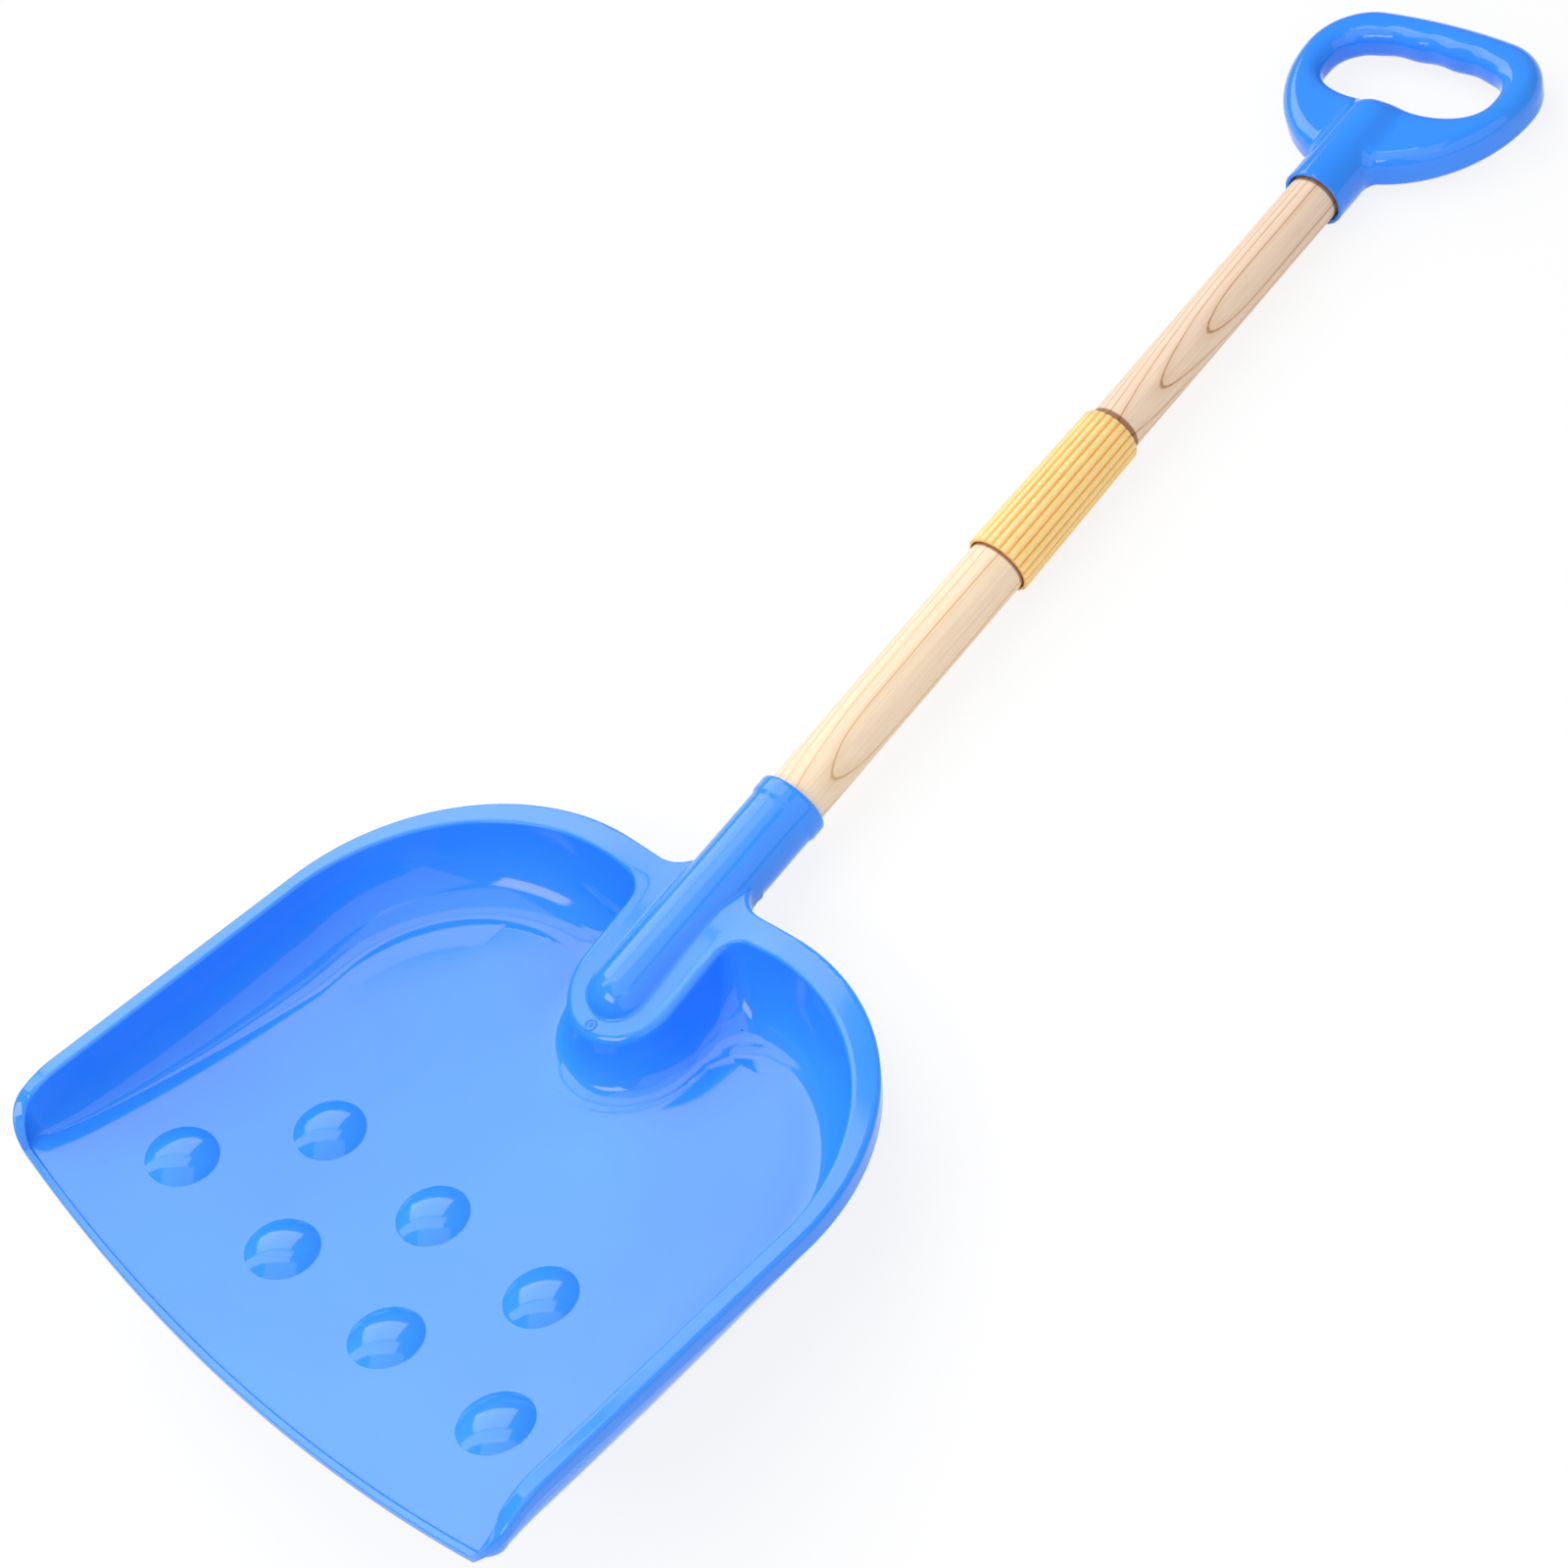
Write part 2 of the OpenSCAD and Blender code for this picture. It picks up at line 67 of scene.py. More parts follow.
def softbox(name, azimuth, elevation, distance, width, height, radiance, across=0.0, raised=0.0):
    """A rectangular light square to a line from the scoop, with the radiance its reflection shows."""
    data = bpy.data.lights.new(name, "AREA")
    data.shape = "RECTANGLE"
    data.size = width
    data.size_y = height
    data.energy = radiance * math.pi * width * height
    lamp = bpy.data.objects.new(name, data)
    out = direction(azimuth, elevation)
    right = Vector((0, 0, 1)).cross(out).normalized()
    up = out.cross(right)
    lamp.location = AIM + out * distance + right * across + up * raised
    lamp.rotation_mode = "QUATERNION"
    lamp.rotation_quaternion = Matrix((right, up, out)).transposed().to_quaternion()
    scene.collection.objects.link(lamp)


softbox("window", azimuth=-138, elevation=32, distance=1.0, width=0.95, height=0.69, radiance=2.9,
        across=0.355, raised=0.095)
softbox("upper_window", azimuth=-138, elevation=32, distance=1.0, width=1.7, height=0.47, radiance=2.5,
        across=0.58, raised=0.705)
softbox("overhead", azimuth=-138, elevation=97, distance=1.0, width=0.9, height=0.8, radiance=1.2)
softbox("key", azimuth=-10, elevation=45.6, distance=1.3, width=0.7, height=0.36, radiance=5.5)
softbox("fill", azimuth=80, elevation=35, distance=1.6, width=2.4, height=1.6, radiance=0.9)


# material nodes
def link(tree, source, target):
    tree.links.new(source, target)


def put(tree, socket, value):
    """Sets an input to a plain value, or links it to another node's output."""
    if isinstance(value, bpy.types.NodeSocket):
        link(tree, value, socket)
    else:
        socket.default_value = value


def new_material(name):
    material = bpy.data.materials.new(name)
    material.use_nodes = True
    tree = material.node_tree
    return material, tree, tree.nodes["Principled BSDF"]


def math_node(tree, operation, *values):
    node = tree.nodes.new("ShaderNodeMath")
    node.operation = operation
    for socket, value in zip(node.inputs, values):
        put(tree, socket, value)
    return node.outputs[0]


def length_node(tree, a, b):
    squares = [math_node(tree, "MULTIPLY", value, value) for value in (a, b)]
    return math_node(tree, "SQRT", math_node(tree, "ADD", *squares))


def map_range(tree, value, low, high, start=0.0, end=1.0):
    """Value from start to end, taken to low to high."""
    node = tree.nodes.new("ShaderNodeMapRange")
    node.inputs["From Min"].default_value = start
    node.inputs["From Max"].default_value = end
    node.inputs["To Min"].default_value = low
    node.inputs["To Max"].default_value = high
    link(tree, value, node.inputs["Value"])
    return node.outputs["Result"]


def noise(tree, vector, scale, detail=2.0, rough=0.5):
    node = tree.nodes.new("ShaderNodeTexNoise")
    node.inputs["Scale"].default_value = scale
    node.inputs["Detail"].default_value = detail
    node.inputs["Roughness"].default_value = rough
    link(tree, vector, node.inputs["Vector"])
    return node.outputs["Fac"]


def colour_ramp(tree, factor, stops):
    node = tree.nodes.new("ShaderNodeValToRGB")
    band = node.color_ramp
    while len(band.elements) < len(stops):
        band.elements.new(0.5)
    for element, (place, colour) in zip(band.elements, stops):
        element.position = place
        element.color = (*colour, 1.0)
    link(tree, factor, node.inputs["Fac"])
    return node.outputs["Color"]


def multiply(tree, share, below, over):
    """The colour below, darkened by a share of the colour over it."""
    node = tree.nodes.new("ShaderNodeMixRGB")
    node.blend_type = "MULTIPLY"
    put(tree, node.inputs["Fac"], share)
    put(tree, node.inputs["Color1"], below)
    put(tree, node.inputs["Color2"], over)
    return node.outputs[0]


def bump(tree, height, strength, distance, below=None):
    node = tree.nodes.new("ShaderNodeBump")
    node.inputs["Strength"].default_value = strength
    node.inputs["Distance"].default_value = distance
    link(tree, height, node.inputs["Height"])
    if below is not None:
        link(tree, below, node.inputs["Normal"])
    return node.outputs["Normal"]


def object_place(tree):
    return tree.nodes.new("ShaderNodeTexCoord").outputs["Object"]


def mapped(tree, vector, location=(0, 0, 0), rotation=(0, 0, 0), scale=(1, 1, 1)):
    node = tree.nodes.new("ShaderNodeMapping")
    node.inputs["Location"].default_value = location
    node.inputs["Rotation"].default_value = rotation
    node.inputs["Scale"].default_value = scale
    link(tree, vector, node.inputs["Vector"])
    return node.outputs["Vector"]


def parts_of(tree, vector):
    node = tree.nodes.new("ShaderNodeSeparateXYZ")
    link(tree, vector, node.inputs[0])
    return node.outputs


def seen_by(tree, other):
    """One for the camera and for rays of one other kind."""
    path = tree.nodes.new("ShaderNodeLightPath")
    return math_node(tree, "MAXIMUM", path.outputs["Is Camera Ray"], path.outputs[other])


WORLD_LEVEL, WHITE = 0.25, 1.0
FLOOR_HALF, FLOOR_GAP, PAPER = 4.0, 0.0005, 0.9
GLOW_SHARE, GLOW_NEAR, GLOW_FAR = 0.85, 0.4, 1.1


def make_world():
    """Soft light from all round, and white where the camera sees past the floor."""
    world = bpy.data.worlds.new("world")
    world.use_nodes = True
    tree = world.node_tree
    background = tree.nodes["Background"]
    background.inputs["Color"].default_value = (1.0, 1.0, 1.0, 1.0)
    level = map_range(tree, seen_by(tree, "Is Transmission Ray"), WORLD_LEVEL, WHITE)
    link(tree, level, background.inputs["Strength"])
    scene.world = world


def make_floor():
    """Pale paper that the camera sees mostly as white, and further out only as white."""
    h = FLOOR_HALF
    mesh = bpy.data.meshes.new("floor")
    mesh.from_pydata([(-h, -h, 0), (h, -h, 0), (h, h, 0), (-h, h, 0)], [], [(0, 1, 2, 3)])
    floor = bpy.data.objects.new("floor", mesh)
    floor.location = (0, 0, -FLOOR_GAP)
    scene.collection.objects.link(floor)
    material = bpy.data.materials.new("floor")
    material.use_nodes = True
    tree = material.node_tree
    tree.nodes.clear()
    paper = tree.nodes.new("ShaderNodeBsdfDiffuse")
    paper.inputs["Color"].default_value = (PAPER, PAPER, PAPER, 1.0)
    glow = tree.nodes.new("ShaderNodeEmission")
    glow.inputs["Color"].default_value = (1.0, 1.0, 1.0, 1.0)
    glow.inputs["Strength"].default_value = WHITE
    reach = tree.nodes.new("ShaderNodeVectorMath")
    reach.operation = "LENGTH"
    link(tree, object_place(tree), reach.inputs[0])
    share = map_range(tree, reach.outputs["Value"], GLOW_SHARE, 1.0, start=GLOW_NEAR, end=GLOW_FAR)
    share = math_node(tree, "MULTIPLY", seen_by(tree, "Is Glossy Ray"), share)
    blend = tree.nodes.new("ShaderNodeMixShader")
    link(tree, share, blend.inputs[0])
    link(tree, paper.outputs[0], blend.inputs[1])
    link(tree, glow.outputs[0], blend.inputs[2])
    surface = tree.nodes.new("ShaderNodeOutputMaterial")
    link(tree, blend.outputs[0], surface.inputs[0])
    mesh.materials.append(material)


make_world()
make_floor()

# sizes in millimetres, in the scoop's own frame: Y back from the front edge, Z up from the floor
HALF_W, LENGTH = 126.0, 217.0
RIM_FRONT, RIM_BACK = 33.0, 48.5
BACK_R, FRONT_R = 84.0, 10.0
DROP_L, BOW = 23.2, 7.0
FLOOR_R, FLOOR_Y = 540.0, 65.0
LEAN_BACK, LEAN_FRONT = 21.0, 3.0
LEAN_START, LEAN_END = 12.0, 118.0
WALL = 2.4
RIM_BACK_W, RIM_SIDE_W = 11.0, 6.4
SKIRT_BACK, SKIRT_FRONT = 9.0, 5.0
LIP_W, LIP_RISE, LIP_H = 2.4, 0.5, 2.7
EDGE_R, EDGE_SHARE, FLAT_SHARE = 1.4, 0.3, 0.1
STEP_SHARE = 0.34
SOFT_SHARE, BEVEL = 0.3, 0.3
WALL_POWER = 0.87
SHAFT_ANGLE = math.radians(18.0)
AXIS_Z = RIM_BACK - 6.6
LIE_ANGLE = math.radians(19.0407)
LIE_Y, LIE_Z = -333.974, 50.777


def mix(a, b, t):
    return a + (b - a) * t


def ramp(v):
    return np.clip(v, 0.0, 1.0)


def ease(v):
    t = ramp(v)
    return t * t * (3 - 2 * t)


def unit(v):
    return v / np.linalg.norm(v)


def full_turn(count):
    return np.arange(count) * 2 * math.pi / count


def floor_z(x, y):
    return (x * x + (y - FLOOR_Y) ** 2) / (2 * FLOOR_R)


def rim_z(y):
    return mix(RIM_FRONT, RIM_BACK, y / LENGTH)


def tip(vectors):
    """Turns vectors from the scoop's frame to the part's frame, in which the shovel lies."""
    x, y, z = vectors.T
    c, s = math.cos(LIE_ANGLE), math.sin(LIE_ANGLE)
    return np.stack([x, y * c + z * s, z * c - y * s], 1)


def lay(points):
    """Scoop frame in millimetres to the part's frame in metres."""
    return (tip(points) + [0.0, LIE_Y, LIE_Z]) / 1000


def from_shaft(points, a0):
    """Shaft frame (X, along the shaft from a0, height above the axis) to the scoop frame."""
    x, v, h = points.T
    a = v + a0
    c, s = math.cos(SHAFT_ANGLE), math.sin(SHAFT_ANGLE)
    return np.stack([x, LENGTH + a * c - h * s, AXIS_Z + a * s + h * c], 1)


class Rim:
    """Values along the rim for points [x, y] with outward direction [nx, ny]."""

    def __init__(self, x, y, nx, ny):
        self.x, self.y, self.nx, self.ny = x, y, nx, ny
        drop = ramp((BOW + DROP_L - y) / DROP_L)
        self.share = np.sqrt(np.maximum(0, 1 - drop * drop))
        self.top = mix(floor_z(x, y) + LIP_RISE, rim_z(y), self.share)
        self.width = mix(LIP_W, mix(RIM_SIDE_W, RIM_BACK_W, np.maximum(0, ny)), self.share)
        lean = mix(LEAN_FRONT, LEAN_BACK, ramp((y - LEAN_START) / (LEAN_END - LEAN_START)))
        self.lean = mix(1.0, lean, self.share)
        self.skirt = mix(LIP_H, mix(SKIRT_FRONT, SKIRT_BACK, y / LENGTH), self.share)
        self.thin = np.minimum(WALL, STEP_SHARE * self.width)
        self.edge = mix(EDGE_R * EDGE_SHARE, EDGE_R, self.share)
        inset = self.width + self.lean
        self.foot_x, self.foot_y = x - nx * inset, y - ny * inset
        self.foot_z = floor_z(self.foot_x, self.foot_y)

    def spot(self, inset, z):
        return np.stack([self.x - self.nx * inset, self.y - self.ny * inset, z], 1)

    def wall(self, turn):
        c, s = math.cos(turn), math.sin(turn)
        return (self.width + self.lean * (1 - max(s, 0) ** WALL_POWER),
                mix(self.foot_z, self.top - self.edge, 1 - max(c, 0) ** WALL_POWER))

    def shell(self, turn):
        """The underside of the wall, one wall thickness square to it."""
        step = math.radians(1)
        i0, z0 = self.wall(max(turn - step, 0))
        i1, z1 = self.wall(min(turn + step, math.pi / 2))
        di, dz = i1 - i0, z1 - z0
        length = np.hypot(di, dz)
        i, z = self.wall(turn)
        return i - dz / length * self.thin, z + di / length * WALL


# points along the rim line, and how much closer the side's points are at the front
FRONT_N, CORNER_N, SIDE_N, BACK_N, REAR_N = 26, 14, 30, 40, 12
SIDE_CROWD = 1.3
FLOOR_RINGS, WALL_RINGS, EDGE_RINGS = 16, 22, 5


def rim_line():
    """The whole rim seen from above, from the front middle round to the left."""
    rows = []
    end_x = HALF_W - FRONT_R
    start_y = BOW + FRONT_R
    mid_x, mid_y = HALF_W - BACK_R, LENGTH - BACK_R
    for i in range(FRONT_N):
        x = end_x * i / FRONT_N
        rows.append((x, BOW * (x / end_x) ** 2, 0, -1))
    for i in range(CORNER_N):
        a = math.pi / 2 * (i / CORNER_N - 1)
        c, s = math.cos(a), math.sin(a)
        rows.append((end_x + FRONT_R * c, start_y + FRONT_R * s, c, s))
    for i in range(SIDE_N):
        rows.append((HALF_W, mix(start_y, mid_y, (i / SIDE_N) ** SIDE_CROWD), 1, 0))
    for i in range(BACK_N):
        a = math.pi / 2 * i / BACK_N
        c, s = math.cos(a), math.sin(a)
        rows.append((mid_x + BACK_R * c, mid_y + BACK_R * s, c, s))
    for i in range(REAR_N + 1):
        rows.append((mix(mid_x, 0, i / REAR_N), LENGTH, 0, 1))
    rows += [(-x, y, -nx, ny) for x, y, nx, ny in reversed(rows[1:-1])]
    return Rim(*np.array(rows, float).T)


def pan_rings(rim):
    """Rings of the scoop from the middle of the floor over the wall and rim to the underside."""
    rings = []
    none = 0 * rim.top

    def floor_ring(f, drop):
        x = rim.foot_x * f
        y = mix(FLOOR_Y, rim.foot_y, f)
        return np.stack([x, y, floor_z(x, y) - drop], 1)

    for i in range(1, FLOOR_RINGS + 1):
        rings.append(floor_ring(i / FLOOR_RINGS, 0.0))
    for i in range(1, WALL_RINGS + 1):
        rings.append(rim.spot(*rim.wall(math.pi / 2 * i / WALL_RINGS)))
    for i in range(1, EDGE_RINGS + 1):
        a = math.pi / 2 * i / EDGE_RINGS
        inset = rim.width - rim.edge * (1 - math.cos(a))
        rings.append(rim.spot(inset, rim.top - rim.edge * (1 - math.sin(a))))
    flat = (rim.width - 2 * rim.edge) * FLAT_SHARE
    rings.append(rim.spot(rim.width - rim.edge - flat, rim.top))
    rings.append(rim.spot(rim.edge + flat, rim.top))
    for i in range(EDGE_RINGS + 1):
        a = math.pi / 2 * i / EDGE_RINGS
        inset = rim.edge * (1 - math.sin(a))
        rings.append(rim.spot(inset, rim.top - rim.edge * (1 - math.cos(a))))
    low = rim.top - rim.skirt
    soft = rim.thin * SOFT_SHARE
    plate = np.minimum(WALL, rim.skirt * (1 - EDGE_SHARE))
    flat = (rim.skirt - rim.edge - soft) * FLAT_SHARE
    rings.append(rim.spot(none, rim.top - rim.edge - flat))
    rings.append(rim.spot(none, low + soft + flat))
    rings.append(rim.spot(none, low + soft))
    rings.append(rim.spot(soft * BEVEL, low + soft * BEVEL))
    rings.append(rim.spot(soft, low))
    rings.append(rim.spot(rim.thin - soft, low))
    rings.append(rim.spot(rim.thin, low + soft))
    rings.append(rim.spot(rim.thin, rim.top - plate))
    rings.append(rim.spot(rim.width - rim.thin, rim.top - plate))
    for i in range(WALL_RINGS - 2, 0, -1):
        rings.append(rim.spot(*rim.shell(math.pi / 2 * i / WALL_RINGS)))
    for i in range(FLOOR_RINGS, 0, -1):
        rings.append(floor_ring(i / FLOOR_RINGS, WALL))
    return rings


def ring_mesh(rings, first=None, last=None, closed=False):
    """Vertices and faces of rings of equal length; first and last close the ends round a point."""
    n = len(rings[0])
    count = len(rings)
    points = np.concatenate(rings)
    faces = []
    i = np.arange(n)
    j = (i + 1) % n
    for k in range(count if closed else count - 1):
        a, b = k * n, (k + 1) % count * n
        faces += np.stack([a + i, a + j, b + j, b + i], 1).tolist()
    if first is not None:
        points = np.concatenate([points, [first, last]])
        t, e = count * n, (count - 1) * n
        faces += [[t, int(q), int(p)] for p, q in zip(i, j)]
        faces += [[t + 1, e + int(p), e + int(q)] for p, q in zip(i, j)]
    ends = np.array([(f[0], f[1], f[2], f[-1]) for f in faces])
    a, b, c, d = (points[ends[:, k]] for k in range(4))
    four = (ends[:, 2] != ends[:, 3])[:, None]
    volume = (a * np.cross(b, c)).sum() + np.where(four, a * np.cross(c, d), 0).sum()
    return points, faces if volume > 0 else [f[::-1] for f in faces]


# fields: below zero inside, in millimetres near the surface
def join_round(a, b, r):
    """Union of two fields with a hollow curve of radius r between them."""
    return np.maximum(r, np.minimum(a, b)) - np.hypot(np.maximum(r - a, 0), np.maximum(r - b, 0))


def meet_round(a, b, r):
    """Intersection of two fields with the edge rounded to radius r."""
    return np.minimum(-r, np.maximum(a, b)) + np.hypot(np.maximum(r + a, 0), np.maximum(r + b, 0))


POWER = 2 / WALL_POWER
TONGUE_W, TONGUE_TIP, TONGUE_ROOT = 22.0, 155.0, 206.0
TONGUE_Z, TONGUE_SLOPE, TONGUE_EDGE, TONGUE_FLARE = 45.9, 0.38, 2.8, 9.0
FLARE_SPAN, FLARE_END = 4.0, 0.985
FOOT_R, FOOT_WALL_R, FOOT_WALL_Y, FOOT_WALL_L = 2.0, 7.5, 178.0, 18.0
DIP_W, DIP_FADE, DIP_BEND = 17.0, 26.0, 3.0
SHARP_R, SHARP_W, SHARP_FADE = 0.05, TONGUE_W - 2.0, 8.0
SKIRT_EDGE = 0.6
WEB_W, WEB_R, WEB_L, WEB_REACH = 12.0, 12.0, 12.5, 20.0
SOCKET_R, NOSE_A, MOUTH_A, BORE_R, BORE_A = 12.7, -44.3, 45.0, 11.1, -41.9
SOCKET_JOIN, BORE_EDGE = 1.0, 0.35
BEAD_H, BEAD_L, BEAD_STEP, MOUTH_EDGE = 0.7, 8.5, 2.4, 1.8


def back_rim(x, y):
    """Distance in from the rim line and the rim's values, for points near the back of the scoop."""
    side = np.abs(x)
    mid_x, mid_y = HALF_W - BACK_R, LENGTH - BACK_R
    ux, uy = np.maximum(side - mid_x, 0), np.maximum(y - mid_y, 1e-6)
    reach = np.hypot(ux, uy)
    nx, ny = ux / reach, uy / reach
    rim = Rim(np.minimum(side, mid_x) + nx * BACK_R, mid_y + ny * BACK_R, nx, ny)
    return BACK_R - reach, rim


def cavity_field(inset, rim, x, y, z):
    """What lies under the floor and behind the walls of the scoop."""
    foot = rim.width + rim.lean
    ground = np.where(inset > foot, floor_z(x, y), rim.foot_z)
    height = rim.top - rim.edge - ground
    u = np.maximum((foot - inset) / rim.lean, 0)
    v = np.maximum((rim.top - rim.edge - z) / height, 0)
    g = np.maximum((u ** POWER + v ** POWER) ** (1 / POWER), 1e-6)
    slope = np.hypot((u / g) ** (POWER - 1) / rim.lean, (v / g) ** (POWER - 1) / height)
    return (1 - g) / np.maximum(slope, 1e-3)


def tongue_field(x, y, z, tongue_top):
    """The tongue on its flared foot."""
    line = np.hypot(x, np.minimum(y - TONGUE_TIP - TONGUE_W, 0)) - TONGUE_W
    span = np.maximum(tongue_top - TONGUE_EDGE - floor_z(x, y), FLARE_SPAN)
    f = np.clip((tongue_top - TONGUE_EDGE - z) / span, 0, FLARE_END)
    root = np.sqrt(1 - f * f)
    tilt = TONGUE_FLARE / span * f / root
    side = (line - TONGUE_FLARE * (1 - root)) / np.sqrt(1 + tilt * tilt)
    plate = (z - tongue_top) / math.sqrt(1 + TONGUE_SLOPE ** 2)
    return meet_round(side, plate, TONGUE_EDGE)


def blade_field(p):
    """The back of the scoop with the tongue, the socket and the webs beside it."""
    x, y, z = p.T
    inset, rim = back_rim(x, y)
    cavity = cavity_field(inset, rim, x, y, z)
    tongue_top = TONGUE_Z + TONGUE_SLOPE * (y - TONGUE_ROOT)
    tongue = tongue_field(x, y, z, tongue_top)
    near_wall = ramp((y - FOOT_WALL_Y) / FOOT_WALL_L)
    upper = join_round(cavity, tongue, mix(FOOT_R, FOOT_WALL_R, near_wall))
    # the rim dips to the tongue between the webs beside the socket
    above = rim.top - tongue_top
    dip = (above + np.hypot(above, DIP_BEND)) / 2 * (1 - ease((np.abs(x) - DIP_W) / DIP_FADE))
    level = rim.top - dip
    inner_edge = mix(SHARP_R, EDGE_R, ramp((np.abs(x) - SHARP_W) / SHARP_FADE))
    strip = np.maximum(np.abs(x) - WEB_W, y - LENGTH - WEB_L)
    outer = np.where(y > LENGTH - WEB_REACH, join_round(-inset, strip, WEB_R), -inset)
    top = meet_round(meet_round(upper, z - level, inner_edge), outer, EDGE_R)
    skirt = meet_round(-outer - rim.thin, rim.top - rim.skirt - z, SKIRT_EDGE)
    under = np.minimum(np.minimum(-upper - WALL, level - WALL - z), skirt)
    shell = np.maximum(top, under)
    # socket with a ball nose, a bead and a bore
    c, s = math.cos(SHAFT_ANGLE), math.sin(SHAFT_ANGLE)
    a = (y - LENGTH) * c + (z - AXIS_Z) * s
    h = (z - AXIS_Z) * c - (y - LENGTH) * s
    radial = np.hypot(x, h)
    swell = BEAD_H * ease((a - MOUTH_A + BEAD_L) / BEAD_STEP)
    ball = np.hypot(radial, np.minimum(a - NOSE_A, 0)) - SOCKET_R - swell
    tube = meet_round(ball, a - MOUTH_A, MOUTH_EDGE)
    whole = join_round(shell, tube, SOCKET_JOIN)
    bore = np.maximum(radial - BORE_R, BORE_A - a)
    return meet_round(whole, -bore, BORE_EDGE)


def gradient(field, p, eps=0.02):
    """Change of a field along X, Y and Z at each point."""
    g = np.empty_like(p)
    for k in range(3):
        step = np.zeros(3)
        step[k] = eps
        g[:, k] = (field(p + step) - field(p - step)) / (2 * eps)
    return g


def settle(field, p, reach, rounds=4, least=0.05):
    """Moves points onto the field's surface."""
    for _ in range(rounds):
        g = gradient(field, p)
        move = field(p) / np.maximum((g * g).sum(1), least)
        p = p - np.clip(move, -reach, reach)[:, None] * g
    return p


def surface_net(field, low, high, step):
    """Quads round the surface of a field, one point for each cell that it crosses."""
    axes = [np.arange(l, h + step, step) for l, h in zip(low, high)]
    grid = np.stack(np.meshgrid(*axes, indexing="ij"), -1)
    shape = grid.shape[:3]
    value = field(grid.reshape(-1, 3)).reshape(shape)
    cells = tuple(k - 1 for k in shape)
    total = np.zeros(cells + (3,))
    count = np.zeros(cells)
    crossings = []
    for axis in range(3):
        o1, o2 = [k for k in range(3) if k != axis]
        lower, upper = [slice(None)] * 3, [slice(None)] * 3
        lower[axis], upper[axis] = slice(0, -1), slice(1, None)
        va, vb = value[tuple(lower)], value[tuple(upper)]
        cross = (va < 0) != (vb < 0)
        share = np.where(cross, va / np.where(cross, va - vb, 1), 0)
        point = grid[tuple(lower)].copy()
        point[..., axis] += share * step
        point *= cross[..., None]
        for i in (0, 1):
            for j in (0, 1):
                part = [slice(None)] * 3
                part[o1] = slice(i, i + cells[o1])
                part[o2] = slice(j, j + cells[o2])
                total += point[tuple(part)]
                count += cross[tuple(part)]
        crossings.append((cross, va < 0))
    active = count > 0
    index = np.full(cells, -1)
    index[active] = np.arange(active.sum())
    points = total[active] / count[active][:, None]
    quads = []
    for axis, (cross, starts_in) in enumerate(crossings):
        o1, o2 = [k for k in range(3) if k != axis]
        at = np.argwhere(cross)
        keep = (at[:, o1] > 0) & (at[:, o1] < cells[o1]) & (at[:, o2] > 0) & (at[:, o2] < cells[o2])
        at = at[keep]
        inside = starts_in[tuple(at.T)]
        corner = []
        for i, j in ((-1, -1), (0, -1), (0, 0), (-1, 0)):
            q = at.copy()
            q[:, o1] += i
            q[:, o2] += j
            corner.append(index[tuple(q.T)])
        quad = np.stack(corner, 1)
        flip = inside if axis != 1 else ~inside
        quad = np.where(flip[:, None], quad, quad[:, ::-1])
        quads.append(quad)
    return points, np.concatenate(quads)


# D-handle, in the shaft frame: X, V along the shaft from its mouth, H above the axis
GRIP_A, GRIP_W, GRIP_T = 353.0, 50.0, 14.6
HUB_V, HOLE_W, HOLE_H, HOLE_POWER = 64.5, 36.5, 16.5, 2.7
SHOULDER_R, SHOULDER_V = 25.0, 69.1
FLANK_R = 52.4
TOP_TURN = math.radians(83)
TOP_R = (GRIP_W - SHOULDER_R + SHOULDER_R * math.cos(TOP_TURN)) / math.cos(TOP_TURN)
BUMP_H, BUMP_W = 2.6, 12.0
FINGER_H, FINGER_W, FINGER_START, FINGER_FADE = 0.9, 18.0, 0.4, 0.2
GRIP_TOP_R, GRIP_LOW_R, GRIP_IN_R = 6.3, 3.2, 6.4
BOSS_L, BOSS_R, BOSS_EDGE, BOSS_MOUTH_EDGE, BOSS_JOIN = 46.5, 12.4, 7.0, 0.4, 3.0
GRIP_BORE_R, GRIP_BORE_L, GRIP_BORE_EDGE = 10.1, 42.9, 0.3
BOSS_LEAD, BOSS_LEAD_L = 0.9, 3.0
TURN_STEP = 0.01


def hole_reach(turn):
    """From the middle of the grip's hole to its edge, with a bump below and finger waves above."""
    c, s = np.cos(turn), np.sin(turn)
    power = HOLE_POWER
    r = ((np.abs(c) / HOLE_W) ** power + (np.abs(s) / HOLE_H) ** power) ** (-1 / power)
    x = r * c
    below = np.where(s < 0, BUMP_H * np.exp(-((x / BUMP_W) ** 2)), 0)
    fingers = FINGER_H * (np.cos(2 * math.pi * x / FINGER_W) - 1) / 2
    return r - below + ramp((s - FINGER_START) / FINGER_FADE) * fingers


